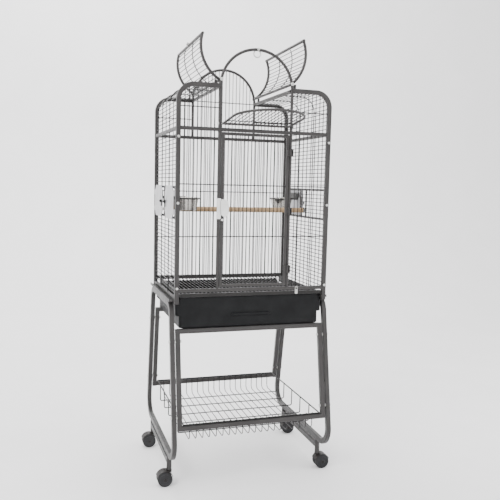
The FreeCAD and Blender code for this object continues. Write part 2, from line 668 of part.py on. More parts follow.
keeper = box(-ARCH_HALF - KEEPER_W / 2, -ARCH_HALF + KEEPER_W / 2 - 1, LATCH_FACE, LATCH_FACE + KEEPER_T,
             KEEPER_LOW_Z, KEEPER_HIGH_Z)
keeper = round_plate_edges(keeper, 3.0, Y_AXIS)
screws = [bolt(V(-ARCH_HALF - 1.5, LATCH_FACE, z), Y_AXIS * -1, 0, 3.0, 1.6)
          for z in span(KEEPER_LOW_Z, KEEPER_HIGH_Z, 22.0)]
save("latch_keeper", fuse([keeper] + screws))

paddle = plate_y([(PADDLE_X - PADDLE_W / 2, PADDLE_PIVOT_Z + 9), (PADDLE_X + PADDLE_W / 2 - 3, PADDLE_PIVOT_Z + 9),
                  (PADDLE_X + PADDLE_W / 2, PADDLE_PIVOT_Z - 10), (PADDLE_X + PADDLE_W / 2 - 1, PADDLE_LOW_Z + 14),
                  (PADDLE_X + 3, PADDLE_LOW_Z), (PADDLE_X - PADDLE_W / 2 + 2, PADDLE_LOW_Z + 10)],
                 PADDLE_BACK, PADDLE_T)
paddle = round_plate_edges(paddle, 2.0, Y_AXIS)
paddle_pin_r = 2.5
paddle = paddle.cut(rod(V(PADDLE_X, PADDLE_BACK + 1, PADDLE_PIVOT_Z), V(PADDLE_X, PADDLE_BACK - 5, PADDLE_PIVOT_Z),
                        2 * (paddle_pin_r + PIN_CLEAR)))
save("latch_paddle", paddle)
backing = box(-DOOR_HALF - DOOR_STILE / 2 + 2, -DOOR_HALF + 12, STILE_FACE - 0.2 - KEEPER_T, STILE_FACE - 0.2,
              PADDLE_PIVOT_Z - 12, PADDLE_PIVOT_Z + 14)
pin_end = V(PADDLE_X, PADDLE_BACK - PADDLE_T - 0.4, PADDLE_PIVOT_Z)
pin = rod(V(PADDLE_X, STILE_FACE - 0.5, PADDLE_PIVOT_Z), pin_end, 2 * paddle_pin_r)
stud = bolt(V(-DOOR_HALF, STILE_FACE - 0.2, KEEPER_LOW_Z - 3), Y_AXIS * -1, 0, 4.0, 7.0)
save("latch_post", fuse([backing, pin, bolt(pin_end, Y_AXIS * -1, 0, 4.5, 1.8)]), stud)

# toy hook under the crown of the front arch
HOOK_R, HOOK_WIRE = 12.0, 4.0
crown = V(0, FRONT, SHOULDER_Z + ARCH_HALF)
hook_back = crown + V(0, ARCH_TUBE / 2 + 1.2 + HOOK_WIRE / 2, 0)
ring = Part.makeTorus(HOOK_R, HOOK_WIRE / 2, hook_back - V(0, 0, HOOK_R), Y_AXIS)
shank = rod(hook_back + V(0, 0.5, 0), crown - V(0, ARCH_TUBE / 2 + 4.5, 0), PIVOT_D)
nut = rod(crown - V(0, ARCH_TUBE / 2 + 0.2, 0), crown - V(0, ARCH_TUBE / 2 + 4.0, 0), 9.0)
save("toy_hook", fuse([ring, shank, nut]))

# ---------------------------------------------------------------- perch
bay_bars = span(*BAY_BARS, PITCH)
PERCH_Z = (bay_bars[0] + bay_bars[1]) / 2
perch_end = HALF_W - BAR / 2 - 0.3
save("perch", rod(V(-perch_end, 0, PERCH_Z), V(perch_end, 0, PERCH_Z), PERCH_D).cut(
    [rod(V(s * (perch_end - 22), 0, PERCH_Z), V(s * (perch_end + 1), 0, PERCH_Z), PERCH_SCREW_D + 0.2)
     for s in (LEFT, RIGHT)]))


def wing_nut(sign):
    """Screw through the bars into the perch, with washer, nut and two ears."""
    x = sign * (HALF_W + BAR / 2 + 0.2)
    out = V(sign, 0, 0)
    centre = V(x, 0, PERCH_Z)
    pieces = [rod(centre - out * 24, centre + out * 14, PERCH_SCREW_D),
              rod(centre, centre + out * 1.6, 2 * PERCH_WASHER_R),
              rod(centre + out * 1.6, centre + out * 9, 11.0)]
    for ear in (-1, 1):
        pieces.append(box(x + sign * 4, x + sign * 13, ear * 4, ear * 14, PERCH_Z - 1.2, PERCH_Z + 1.2))
    return fuse(pieces)


save("perch_fixings", wing_nut(LEFT), wing_nut(RIGHT))

# ---------------------------------------------------------------- feeder doors and cups
PLATE_LOW_Z, PLATE_HIGH_Z = 935.0, 1050.0
PLATE_NEAR, PLATE_FAR = 26.0, 186.0
PLATE_CUT = 24.0
PLATE_IN = HALF_W + 7.5
FEEDER_HINGE_X = HALF_W + 6.0
FEEDER_HINGE_Y = 197.0
FEEDER_PIN = 3.0
FEEDER_KNUCKLE_R = 2.6
RING_WIRE = 5.0
CUP_Y = 110.0
CUP_LIP = 3.0
CUP_LIP_T = 1.4


def octagon_plate(sign, y_sign):
    """Eight-sided cover plate with two slots, flat on the outside of its bay."""
    near, far, cut = PLATE_NEAR, PLATE_FAR, PLATE_CUT
    low, high = PLATE_LOW_Z, PLATE_HIGH_Z
    outline = [(near + cut, low), (far - cut, low), (far, low + cut), (far, high - cut),
               (far - cut, high), (near + cut, high), (near, high - cut), (near, low + cut)]
    x = sign * PLATE_IN
    corners = [V(x, y_sign * y, z) for y, z in outline]
    plate = Part.Face(Part.makePolygon(corners + corners[:1])).extrude(V(sign * FEEDER_PLATE_T, 0, 0))
    slots = []
    middle = (low + high) / 2
    for y in (near + 40, far - 40):
        slots.append(box(x - 3, x + 3, y_sign * (y - 3), y_sign * (y + 3), middle - 20, middle + 20))
    return plate.cut(fuse(slots))


def feeder_knuckles(sign, y_sign):
    """Two hinge barrels with leaves, drilled for the pin."""
    x, y = sign * FEEDER_HINGE_X, y_sign * FEEDER_HINGE_Y
    barrels, bores = [], []
    for z in (FEEDER_LOW_Z + 12, FEEDER_HIGH_Z - 30):
        barrels.append(Part.makeCylinder(FEEDER_KNUCKLE_R, 18, V(x, y, z)))
        barrels.append(box(x + sign * 0.5, sign * (PLATE_IN + FEEDER_PLATE_T), y, y_sign * (PLATE_FAR - 4), z, z + 18))
        bores.append(Part.makeCylinder(FEEDER_PIN / 2 + PIN_CLEAR, 20, V(x, y, z - 1)))
    return barrels, bores


def feeder_door(sign, y_sign):
    barrels, bores = feeder_knuckles(sign, y_sign)
    return fuse([octagon_plate(sign, y_sign)] + barrels).cut(bores)


def feeder_pin(sign, y_sign):
    """Hinge pin between two tabs on the feeder rails."""
    x, y = sign * FEEDER_HINGE_X, y_sign * FEEDER_HINGE_Y
    low, high = FEEDER_LOW_Z + 4, FEEDER_HIGH_Z - 4
    pieces = [Part.makeCylinder(FEEDER_PIN / 2, high - low, V(x, y, low))]
    for z in (low, high - 3):
        pieces.append(Part.makeCylinder(FEEDER_PIN, 3, V(x, y, z)))
    for z in (FEEDER_LOW_Z - 3, FEEDER_HIGH_Z - 4):
        pieces.append(box(sign * (HALF_W + 3.2), x + sign * 1.5, y - 3, y + 3, z, z + 7))
    return fuse(pieces)


def cup_holder(sign, y_sign):
    """Wire ring on two arms, with the splash guard above it, behind the plate."""
    centre = V(sign * CUP_X, y_sign * CUP_Y, CUP_TOP_Z - CUP_LIP_T - RING_WIRE / 2 - 0.2)
    ring_r = CUP_TOP_R + 0.8 + RING_WIRE / 2
    pieces = [Part.makeTorus(ring_r, RING_WIRE / 2, centre, Z_AXIS)]
    inner_face = sign * (PLATE_IN - 0.2)
    for side in (-1, 1):
        y = centre.y + side * 24
        start_x = sign * (CUP_X + math.sqrt(ring_r ** 2 - 24 ** 2))
        pieces.append(rod(V(start_x, y, centre.z), V(inner_face, y, centre.z), RING_WIRE))
    guard_x = sign * (CUP_X + CUP_TOP_R + CUP_LIP + 1.2)
    pieces.append(box(guard_x, guard_x + sign * 1.5, centre.y - 34, centre.y + 34, centre.z - 1, centre.z + 26))
    return fuse(pieces)


def cup(sign, y_sign):
    """Tapered steel cup with a flat lip."""
    centre = V(sign * CUP_X, y_sign * CUP_Y, CUP_BASE_Z)
    height = CUP_TOP_Z - CUP_BASE_Z
    outer = Part.makeCone(CUP_BASE_R, CUP_TOP_R, height, centre)
    lip = Part.makeCylinder(CUP_TOP_R + CUP_LIP, CUP_LIP_T, centre + V(0, 0, height - CUP_LIP_T))
    inner = Part.makeCone(CUP_BASE_R - CUP_WALL, CUP_TOP_R - CUP_WALL, height,
                          centre + V(0, 0, CUP_WALL))
    mouth = Part.makeCylinder(CUP_TOP_R - CUP_WALL - 0.3, CUP_LIP_T * 2, centre + V(0, 0, height - CUP_LIP_T))
    return outer.fuse(lip).cut(inner.fuse(mouth))


LATCH_ARM = 24.0


def feeder_latch(sign, y_sign):
    """Thumb turn on the near edge of a feeder plate: a knob with a hanging tongue."""
    x = sign * (PLATE_IN + FEEDER_PLATE_T + 0.3)
    y = y_sign * (PLATE_NEAR + 9)
    z = (PLATE_LOW_Z + PLATE_HIGH_Z) / 2
    out = V(sign, 0, 0)
    centre = V(x, y, z)
    tongue = box(x, x + sign * 2, y + 4, y - 4, z - LATCH_ARM + 5, z + 5)
    return fuse([tongue, rod(centre, centre + out * 6, 11.0), rod(centre, centre + out * 9, 6.0)])


FEEDERS = (("left_front", LEFT, -1), ("left_back", LEFT, 1), ("right_back", RIGHT, 1))
for name, sign, y_sign in FEEDERS:
    save("feeder_door_" + name, feeder_door(sign, y_sign))
    save("cup_holder_" + name, cup_holder(sign, y_sign))
    save("cup_" + name, cup(sign, y_sign))
    save("feeder_latch_" + name, feeder_latch(sign, y_sign))
save("hinge_pins", *[door_hinge(z) for z in HINGE_Z],
     *[feeder_pin(sign, y_sign) for _, sign, y_sign in FEEDERS])


# ---------------------------------------------------------------- ledges, grate and tray
LEDGE_LIP = 3.0
LEDGE_Y = HALF_D - POST / 2 - WELD_GAP
TRAY_PLAY = 2.0
TRAY_FRONT_Y = -TRAY_DEPTH / 2


def ledge(sign):
    """Folded strip on the stand: grate runner inside, small upturned lip outside."""
    inner, outer = sign * LEDGE_IN, sign * LEDGE_OUT
    front = TRAY_FRONT_Y + TRAY_WALL + TRAY_PLAY + 1
    runner_top = GRATE_Z - GRATE_ROD / 2 - 0.3
    return fuse([box(inner, outer, front, LEDGE_Y, LEDGE_Z, LEDGE_Z + LEDGE_T),
                 box(inner, inner + sign * LEDGE_LIP, front, LEDGE_Y, LEDGE_Z, runner_top),
                 box(outer, outer - sign * LEDGE_LIP, front, LEDGE_Y, LEDGE_Z, LEDGE_Z + 8.5)])


save("ledges", ledge(LEFT), ledge(RIGHT))

GRATE_BAR = 12.0            # square front bar of the grate


def grate():
    """Slide-out floor grate: square front bar, rim, bars and two cross wires."""
    runner_x = LEDGE_IN + LEDGE_LIP / 2
    back = HALF_D - RAIL / 2 - 8.0
    front_half = HALF_W - POST / 2 - 4.5
    face = FRONT + GRATE_BAR / 2
    pieces = [square_tube([V(-front_half, FRONT, GRATE_Z), V(front_half, FRONT, GRATE_Z)], [], Z_AXIS,
                          GRATE_BAR, GRATE_BAR),
              rod(V(-runner_x, back, GRATE_Z), V(runner_x, back, GRATE_Z), GRATE_ROD)]
    for sign in (LEFT, RIGHT):
        pieces.append(rod(V(sign * runner_x, face - 2, GRATE_Z), V(sign * runner_x, back, GRATE_Z), GRATE_ROD))
    for x in span(-runner_x, runner_x, PITCH):
        pieces.append(rod(V(x, face - 2, GRATE_Z), V(x, back, GRATE_Z), BAR))
    under = GRATE_Z - (BAR + CROSS) / 2 + BITE
    for y in (-HALF_D / 3, HALF_D / 3):
        pieces.append(rod(V(-runner_x + LEDGE_LIP + 1, y, under), V(runner_x - LEDGE_LIP - 1, y, under), CROSS))
    return fuse(pieces)


save("grate", grate())
clip = box(CLIP_X - CLIP_W / 2, CLIP_X + CLIP_W / 2, CLIP_FACE - CLIP_T, CLIP_FACE, SILL_Z - 20, SILL_Z + 6)
clip = round_plate_edges(clip, 3.0, Y_AXIS)
save("grate_clip", clip.cut(rod(V(CLIP_X, CLIP_FACE + 1, SILL_Z), V(CLIP_X, CLIP_FACE - CLIP_T - 1, SILL_Z),
                                CLIP_PIN_D + 2 * PIN_CLEAR)))

TRAY_LOW_Z = STAND_TOP_Z + TUBE / 2 + 0.3
TRAY_CORNER = 14.0


def rounded_block(half_x, y0, y1, z0, z1, radius):
    """Upright block with rounded corners."""
    block = box(-half_x, half_x, y0, y1, z0, z1)
    upright = [e for e in block.Edges if abs(e.tangentAt(e.FirstParameter).z) > 0.99]
    return block.makeFillet(radius, upright)


def tray():
    """Deep tub: narrow below between the stand posts, wider above, with a higher front."""
    y0, y1, wall = TRAY_FRONT_Y, -TRAY_FRONT_Y, TRAY_WALL
    low = rounded_block(TRAY_HALF_LOW, y0, y1, TRAY_LOW_Z, TRAY_STEP_Z + wall, TRAY_CORNER)
    high = rounded_block(TRAY_HALF_TOP, y0, y1, TRAY_STEP_Z, TRAY_SIDE_Z, TRAY_CORNER)
    low_in = rounded_block(TRAY_HALF_LOW - wall, y0 + wall, y1 - wall, TRAY_LOW_Z + wall, TRAY_STEP_Z + wall + 1,
                           TRAY_CORNER - wall)
    high_in = rounded_block(TRAY_HALF_TOP - wall, y0 + wall, y1 - wall, TRAY_STEP_Z + wall, TRAY_SIDE_Z + 1,
                            TRAY_CORNER - wall)
    tub = low.fuse(high).cut(low_in.fuse(high_in))
    front_half = HALF_W - POST / 2 - 5.0
    fascia = box(-front_half, front_half, y0, y0 + wall, TRAY_SIDE_Z - 8, TRAY_FRONT_Z)
    top_corners = [e for e in fascia.Edges if abs(e.tangentAt(e.FirstParameter).y) > 0.99
                   and e.CenterOfMass.z > TRAY_FRONT_Z - 1]
    fascia = fascia.makeFillet(8.0, top_corners)
    splash = box(-LEDGE_IN + 6, LEDGE_IN - 6, y1 - wall, y1, TRAY_SIDE_Z - 8, TRAY_FRONT_Z + 1)
    grip = box(-GRIP_W / 2, GRIP_W / 2, y0 - GRIP_DEEP, y0 + 1, GRIP_Z - 5, GRIP_Z + 5)
    grip = grip.makeFillet(3.0, [e for e in grip.Edges if e.CenterOfMass.y < y0 - 1])
    return tub.fuse([fascia, splash, grip])


GRIP_W, GRIP_DEEP, GRIP_Z = 145.0, 4.5, 606.0
save("tray", tray())

# ---------------------------------------------------------------- stand
STAND_BOLT_D = 6.0
STAND_BOLT_Z = (520.0, 268.0)
STAND_BOLT_AT = [(y_sign * leg_y(z), z) for y_sign in (-1, 1) for z in STAND_BOLT_Z]


def bolt_drills(x, places):
    """Holes across a stand leg at the bolt places."""
    return [rod(V(x - TUBE, y, z), V(x + TUBE, y, z), STAND_BOLT_D + 2 * DRILL_CLEAR) for y, z in places]


def stand_frame(y_sign):
    """Posts and rails of the front or back of the stand."""
    top, low = STAND_TOP_Z + TUBE / 2, STAND_LOW_Z - TUBE / 2
    pieces, drills = [], []
    places = [(y, z) for y, z in STAND_BOLT_AT if y * y_sign > 0]
    for x in (-STAND_POST_X, STAND_POST_X):
        ends = [V(x, y_sign * leg_y(top), top), V(x, y_sign * leg_y(low), low)]
        pieces.append(square_tube(ends, [], X_AXIS, TUBE, TUBE))
        drills.extend(bolt_drills(x, places))
    for z in (STAND_TOP_Z, STAND_LOW_Z):
        y = y_sign * leg_y(z)
        pieces.append(square_tube([V(-STAND_POST_X, y, z), V(STAND_POST_X, y, z)], [], Z_AXIS, TUBE, TUBE))
    trim = box(-HALF_W, HALF_W, -2 * HALF_D, 2 * HALF_D, top, top + TUBE)
    return fuse(pieces).cut(drills + [trim])


def side_loop(sign):
    """Bent loop on one side of the stand, drilled for the stand bolts."""
    x = sign * LOOP_X
    top, low = leg_y(LOOP_TOP_Z), leg_y(LOOP_LOW_Z)
    corners = [V(x, -top, LOOP_TOP_Z), V(x, top, LOOP_TOP_Z), V(x, low, LOOP_LOW_Z), V(x, -low, LOOP_LOW_Z)]
    radii = [LOOP_TOP_R, LOOP_TOP_R, LOOP_LOW_R, LOOP_LOW_R]
    return loop_tube(corners, radii, X_AXIS, TUBE, LOOP_DEEP).cut(bolt_drills(x, STAND_BOLT_AT))


def foot(sign):
    """Foot bar hung under the side loop, with a caster socket at each end."""
    x = sign * LOOP_X
    reach = STEM_Y - 2
    socket_top = LOOP_LOW_Z - LOOP_DEEP / 2 - 0.2
    pieces = [square_tube([V(x, -reach, FOOT_BAR_Z), V(x, reach, FOOT_BAR_Z)], [], X_AXIS, TUBE, LOOP_DEEP)]
    bores = []
    for y in (-STEM_Y, STEM_Y):
        pieces.append(rod(V(x, y, STEM_LOW_Z), V(x, y, socket_top), SOCKET_D))
        bores.append(rod(V(x, y, STEM_LOW_Z - 1), V(x, y, STEM_LOW_Z + STEM_LENGTH + 2), STEM_D + 2 * PIN_CLEAR))
    return fuse(pieces).cut(bores)


def stand_bolt(sign, y, z):
    """Bolt through loop and post, with a spacer between them and a nut inside."""
    out = V(sign, 0, 0)
    face = V(sign * (LOOP_X + TUBE / 2 + 0.2), y, z)
    inner = STAND_POST_X - TUBE / 2
    spacer_in, spacer_out = STAND_POST_X + TUBE / 2 + 0.2, LOOP_X - TUBE / 2 - 0.2
    pieces = [bolt(face, out, LOOP_X + TUBE / 2 - inner + 4, 6.5, 3.5, STAND_BOLT_D),
              rod(V(sign * spacer_in, y, z), V(sign * spacer_out, y, z), 13.0),
              rod(V(sign * (inner - 0.2), y, z), V(sign * (inner - 4.2), y, z), 10.0)]
    return fuse(pieces)


STEM_D, STEM_LENGTH = 10.0, 26.0
SOCKET_D = 18.0
for side_name, sign in (("left", LEFT), ("right", RIGHT)):
    save("stand_loop_" + side_name, side_loop(sign))
    save("stand_foot_" + side_name, foot(sign))
save("stand_front_frame", stand_frame(-1))
save("stand_back_frame", stand_frame(1))

frame_bolts = [stand_bolt(sign, y, z) for sign in (LEFT, RIGHT) for y, z in STAND_BOLT_AT]
for y_sign in (-1, 1):
    face = y_sign * (HALF_D + POST / 2 + 0.2)
    for x in (-HALF_W, HALF_W):
        frame_bolts.extend(bolt(V(x, face, z), Y_AXIS * y_sign, POST - 1, 4.6, 2.4, PIVOT_D) for z in PANEL_BOLT_Z)
save("frame_bolts", *frame_bolts)

# ---------------------------------------------------------------- shelf basket
BASKET_CROSS_START = -164.0
BASKET_CROSS_PITCH = 88.5
BASKET_CORNER = 6.0
BASKET_HANG = 12.0          # basket wires hang this far inside the rails' centre lines
BASKET_BEND = 18.0


def basket():
    """Hanging wire shelf: rim on the rails, bent cross wires, hooked lengthwise wires."""
    rim_z = STAND_LOW_Z + TUBE / 2 + 0.2 + BASKET_RIM / 2
    rim_y = leg_y(STAND_LOW_Z)
    x = BASKET_X
    pieces = [rod(V(-x, y, rim_z), V(x, y, rim_z), BASKET_RIM) for y in (-rim_y, rim_y)]
    pieces += [rod(V(sx, -rim_y, rim_z), V(sx, rim_y, rim_z), BASKET_RIM) for sx in (-x, x)]
    floor = BASKET_FLOOR_Z
    for index in range(BASKET_CROSS):
        y = BASKET_CROSS_START + index * BASKET_CROSS_PITCH
        path = [V(-x, y, rim_z), V(-x, y, floor), V(x, y, floor), V(x, y, rim_z)]
        pieces.append(bent_rod(path, [BASKET_CORNER] * 2, BASKET_WIRE))
    upper = floor + (BASKET_WIRE + BASKET_BAR) / 2 - BITE
    hang_y = rim_y - BASKET_HANG
    for bar_x in span(-x, x, BASKET_PITCH):
        path = [V(bar_x, -rim_y, rim_z), V(bar_x, -hang_y, rim_z), V(bar_x, -hang_y, upper),
                V(bar_x, hang_y, upper), V(bar_x, hang_y, rim_z), V(bar_x, rim_y, rim_z)]
        pieces.append(bent_rod(path, [4.0, BASKET_BEND, BASKET_BEND, 4.0], BASKET_BAR))
    return fuse(pieces)


save("shelf_basket", basket())

# ---------------------------------------------------------------- casters
AXLE_D = 6.0
AXLE_CAP_R = 5.5
HOOD_R, HOOD_T = 29.0, 1.8
FLANGE_R = 10.0
WHEEL_SIDE_GAP = 0.4


def caster_body(sign, y_sign):
    """Swivel stem, flange, middle web, mudguard and axle of a twin-wheel caster."""
    x, y = sign * LOOP_X, y_sign * STEM_Y
    hub = V(sign * (LOOP_X + WHEEL_TRAIL), y, WHEEL_R)
    half = CASTER_WEB / 2 + WHEEL_SIDE_GAP + WHEEL_W
    flange_low = STEM_LOW_Z - 6.0
    guard = Part.makeCylinder(HOOD_R, 2 * half - 4, hub - V(0, half - 2, 0), Y_AXIS)
    hollow = Part.makeCylinder(HOOD_R - HOOD_T, 2 * half, hub - V(0, half, 0), Y_AXIS)
    web = Part.makeCylinder(WHEEL_R - 4, CASTER_WEB, hub - V(0, CASTER_WEB / 2, 0), Y_AXIS)
    rib = box(hub.x - WHEEL_R + 4, hub.x + WHEEL_R - 4, y - CASTER_WEB / 2, y + CASTER_WEB / 2,
              WHEEL_R, WHEEL_R + HOOD_R - HOOD_T / 2)
    keep = Part.makeCylinder(HOOD_R, CASTER_WEB, hub - V(0, CASTER_WEB / 2, 0), Y_AXIS)
    below = box(hub.x - 40, hub.x + 40, y - 40, y + 40, -WHEEL_R, WHEEL_R + 9)
    guard = guard.cut(hollow).cut(below)
    bridge = box(x - FLANGE_R + 2, x + FLANGE_R - 2, y - 8, y + 8, flange_low - 3, flange_low + 1).cut(hollow)
    pieces = [Part.makeCylinder(STEM_D / 2, STEM_LENGTH + 6, V(x, y, flange_low)),
              Part.makeCylinder(FLANGE_R, STEM_LOW_Z - 0.4 - flange_low, V(x, y, flange_low)),
              guard, web, rib.common(keep), bridge,
              rod(hub - V(0, half + 0.4, 0), hub + V(0, half + 0.4, 0), AXLE_D)]
    for side in (-1, 1):
        inner = hub + V(0, side * (half + 0.3), 0)
        pieces.append(rod(inner, inner + V(0, side * 1.4, 0), 2 * AXLE_CAP_R))
    return fuse(pieces)


def caster_wheels(sign, y_sign):
    """Two wheels with rounded treads and dished faces on one axle."""
    hub = V(sign * (LOOP_X + WHEEL_TRAIL), y_sign * STEM_Y, WHEEL_R)
    wheels = []
    for side in (-1, 1):
        start = hub + V(0, side * (CASTER_WEB / 2 + WHEEL_SIDE_GAP), 0)
        wheel = Part.makeCylinder(WHEEL_R, WHEEL_W, start, Y_AXIS * side)
        rims = [e for e in wheel.Edges if e.Curve.TypeId == "Part::GeomCircle"]
        wheel = wheel.makeFillet(2.5, rims)
        dish_start = start + V(0, side * (WHEEL_W - 2.0), 0)
        dish = Part.makeCylinder(WHEEL_R - 6, 3, dish_start, Y_AXIS * side)
        dish = dish.cut(Part.makeCylinder(9.0, 3, dish_start, Y_AXIS * side))
        bore = Part.makeCylinder(AXLE_D / 2 + PIN_CLEAR, WHEEL_W + 2, start - V(0, side, 0), Y_AXIS * side)
        wheels.append(wheel.cut([dish, bore]))
    return wheels


CORNERS = (("front_left", LEFT, -1), ("front_right", RIGHT, -1), ("back_left", LEFT, 1), ("back_right", RIGHT, 1))
for name, sign, y_sign in CORNERS:
    save("caster_body_" + name, caster_body(sign, y_sign))
    save("caster_wheels_" + name, *caster_wheels(sign, y_sign))
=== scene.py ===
# %% [markdown]
# # A bird cage on a rolling stand
# The cage is a welded steel frame with an opening dome. It stands on a cart with a wire shelf and four
# casters. The measured model is loaded first and stays fixed. Everything added here is placed from that
# model's own boxes.

# %% Load the measured frame
import json
import math
import bmesh
import bpy
import numpy as np
from mathutils import Matrix, Vector


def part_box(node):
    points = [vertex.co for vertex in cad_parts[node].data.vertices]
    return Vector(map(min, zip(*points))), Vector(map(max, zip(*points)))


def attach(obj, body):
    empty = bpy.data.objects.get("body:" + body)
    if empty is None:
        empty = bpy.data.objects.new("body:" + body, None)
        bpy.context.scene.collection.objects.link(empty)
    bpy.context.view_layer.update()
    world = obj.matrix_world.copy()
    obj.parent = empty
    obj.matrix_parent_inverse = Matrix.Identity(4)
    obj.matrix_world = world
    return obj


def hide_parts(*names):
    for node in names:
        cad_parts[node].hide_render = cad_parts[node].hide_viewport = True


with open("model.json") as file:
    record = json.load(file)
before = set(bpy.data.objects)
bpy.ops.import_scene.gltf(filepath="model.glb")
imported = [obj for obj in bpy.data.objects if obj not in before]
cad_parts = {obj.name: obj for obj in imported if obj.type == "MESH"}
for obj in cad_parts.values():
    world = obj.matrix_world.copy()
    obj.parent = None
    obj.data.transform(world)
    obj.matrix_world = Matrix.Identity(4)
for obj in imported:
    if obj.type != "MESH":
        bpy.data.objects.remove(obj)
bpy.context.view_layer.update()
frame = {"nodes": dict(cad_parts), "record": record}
NODES = frame["nodes"]

# %% [markdown]
# ## Finishes
# Each finish is a small tree of nodes. Object coordinates keep a pattern still on its piece, and a mapping
# stretches it along the direction in which the real surface was drawn, spun or brushed.


# %% Node helpers
def new_finish(name):
    """An empty finish: the material, its node tree, its surface shader and its object coordinates."""
    material = bpy.data.materials.new(name)
    material.use_nodes = True
    tree = material.node_tree
    shader = tree.nodes["Principled BSDF"]
    place = tree.nodes.new("ShaderNodeTexCoord").outputs["Object"]
    return material, tree, shader, place


def stretched(tree, place, stretch):
    """Coordinates multiplied axis by axis, so that a pattern grows long where the factor is small."""
    mapping = tree.nodes.new("ShaderNodeMapping")
    mapping.inputs["Scale"].default_value = stretch
    tree.links.new(place, mapping.inputs["Vector"])
    return mapping.outputs["Vector"]


def noise(tree, place, scale, detail=3.0, rough=0.55):
    """Smooth random values; scale is in patches per metre."""
    node = tree.nodes.new("ShaderNodeTexNoise")
    node.inputs["Scale"].default_value = scale
    node.inputs["Detail"].default_value = detail
    node.inputs["Roughness"].default_value = rough
    tree.links.new(place, node.inputs["Vector"])
    return node.outputs["Fac"]


def ramp(tree, value, stops):
    """Value looked up on a line of colour stops, each (position, colour)."""
    node = tree.nodes.new("ShaderNodeValToRGB")
    elements = node.color_ramp.elements
    while len(elements) < len(stops):
        elements.new(0.5)
    for element, (position, colour) in zip(elements, stops):
        element.position = position
        element.color = (*colour, 1.0)
    tree.links.new(value, node.inputs["Fac"])
    return node.outputs["Color"]


def spread(tree, value, low, high):
    """Value from 0.3..0.7 stretched over low..high."""
    node = tree.nodes.new("ShaderNodeMapRange")
    for key, number in (("From Min", 0.3), ("From Max", 0.7), ("To Min", low), ("To Max", high)):
        node.inputs[key].default_value = number
    tree.links.new(value, node.inputs["Value"])
    return node.outputs["Result"]


def relief(tree, shader, height, depth, strength):
    """Height field raised by depth metres, through the shader's normal."""
    node = tree.nodes.new("ShaderNodeBump")
    node.inputs["Distance"].default_value = depth
    node.inputs["Strength"].default_value = strength
    tree.links.new(height, node.inputs["Height"])
    tree.links.new(node.outputs["Normal"], shader.inputs["Normal"])


# %% [markdown]
# The tubes and wires wear a pewter powder coat. Baked powder has three scales: slow drifts of tone over a
# hand's width, flecks of metal a fraction of a millimetre wide, and the orange-peel waviness of the melted
# skin.


# %% Powder coat
def powder_coat(name, dark, light, rough, metal=0.25):
    """Dark and light tones mixed by a slow drift times fine flecks, with an orange-peel relief."""
    material, tree, shader, place = new_finish(name)
    drift = noise(tree, place, 9.0, 2.0)
    flecks = noise(tree, place, 900.0, 1.0, 0.7)
    mix = tree.nodes.new("ShaderNodeMath")
    mix.operation = "MULTIPLY_ADD"
    mix.inputs[1].default_value = 0.28
    tree.links.new(flecks, mix.inputs[0])
    tree.links.new(spread(tree, drift, 0.32, 0.42), mix.inputs[2])
    middle = tuple((a + b) / 2 for a, b in zip(dark, light))
    tone = ramp(tree, mix.outputs[0], [(0.38, dark), (0.52, middle), (0.66, light)])
    tree.links.new(tone, shader.inputs["Base Color"])
    shader.inputs["Metallic"].default_value = metal
    shader.inputs["Specular IOR Level"].default_value = 0.30
    tree.links.new(spread(tree, noise(tree, place, 60.0, 3.0), rough - 0.06, rough + 0.10),
                   shader.inputs["Roughness"])
    relief(tree, shader, noise(tree, place, 420.0, 2.0), 0.0004, 0.25)
    return material


PEWTER_DARK, PEWTER_LIGHT = (0.025, 0.0240, 0.0240), (0.060, 0.0565, 0.0560)
HOLDER_DARK, HOLDER_LIGHT = (0.03, 0.03, 0.03), (0.07, 0.068, 0.065)
WIRE_DARK, WIRE_LIGHT = (0.009, 0.0085, 0.0085), (0.026, 0.0245, 0.0240)
FINISHES = {
    "cage_tube": powder_coat("Pewter powder coat on tube", PEWTER_DARK, PEWTER_LIGHT, 0.42),
    "cage_wire": powder_coat("Pewter powder coat on wire", WIRE_DARK, WIRE_LIGHT, 0.40),
    "stand_tube": powder_coat("Pewter powder coat on stand", PEWTER_DARK, PEWTER_LIGHT, 0.38),
    "basket_wire": powder_coat("Pewter powder coat on shelf", WIRE_DARK, WIRE_LIGHT, 0.40),
    "holder_steel": powder_coat("Dark coat on cup holders", HOLDER_DARK, HOLDER_LIGHT, 0.42, 0.3),
}
print("powder coats", len(FINISHES))

# %% [markdown]
# Bare metal parts are zinc-plated fixings, the polished latch, the spun cups and the zinc-coated cover
# plates. Spun and brushed steel has fine lines, which a noise gives when it is stretched along the
# direction of the lines.


# %% Metals
def drawn_metal(name, dark, light, rough, stretch, line_scale=260.0, depth=0.00006):
    """Metal whose tone and roughness follow a noise stretched along its drawing direction."""
    material, tree, shader, place = new_finish(name)
    lines = noise(tree, stretched(tree, place, stretch), line_scale, 4.0, 0.65)
    clouds = noise(tree, place, 25.0, 3.0)
    tone = ramp(tree, lines, [(0.28, dark), (0.72, light)])
    stain = ramp(tree, clouds, [(0.30, (0.86, 0.85, 0.84)), (0.65, (1.0, 1.0, 1.0))])
    mix = tree.nodes.new("ShaderNodeMixRGB")
    mix.blend_type = "MULTIPLY"
    mix.inputs["Fac"].default_value = 0.8
    tree.links.new(tone, mix.inputs["Color1"])
    tree.links.new(stain, mix.inputs["Color2"])
    tree.links.new(mix.outputs["Color"], shader.inputs["Base Color"])
    tree.links.new(spread(tree, lines, rough - 0.05, rough + 0.10), shader.inputs["Roughness"])
    shader.inputs["Metallic"].default_value = 1.0
    relief(tree, shader, lines, depth, 0.4)
    return material


